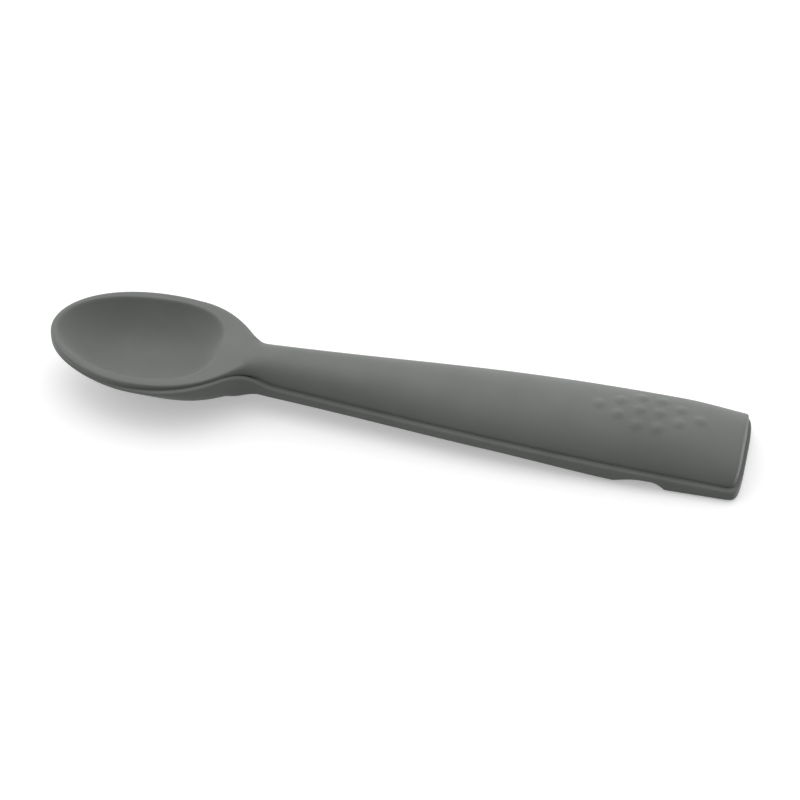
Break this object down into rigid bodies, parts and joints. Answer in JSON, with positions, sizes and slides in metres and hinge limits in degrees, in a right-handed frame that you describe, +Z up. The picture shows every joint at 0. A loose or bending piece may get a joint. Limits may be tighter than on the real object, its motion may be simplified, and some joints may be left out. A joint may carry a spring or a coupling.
{
  "type": "silicone spoon",
  "caption": "Soft silicone feeding spoon with an oval rimmed bowl, a slim neck and a domed handle with grip dots, made as two skins bonded along a ledged seam over a stiff core.",
  "frame": {"origin": "middle of the bounding box at the table, below the spoon", "axes": "+X along the spoon from the tip of the bowl to the tail, +Y to the left of the handle, +Z up out of the bowl"},
  "size_m": [0.14, 0.0302, 0.0106],
  "materials": {
    "silicone": "matte moulded silicone, green-grey",
    "nylon": "matte moulded nylon, natural white"
  },
  "bodies": {
    "root": {"upper_skin": "silicone", "lower_skin": "silicone", "core": "nylon"}
  },
  "joints": []
}
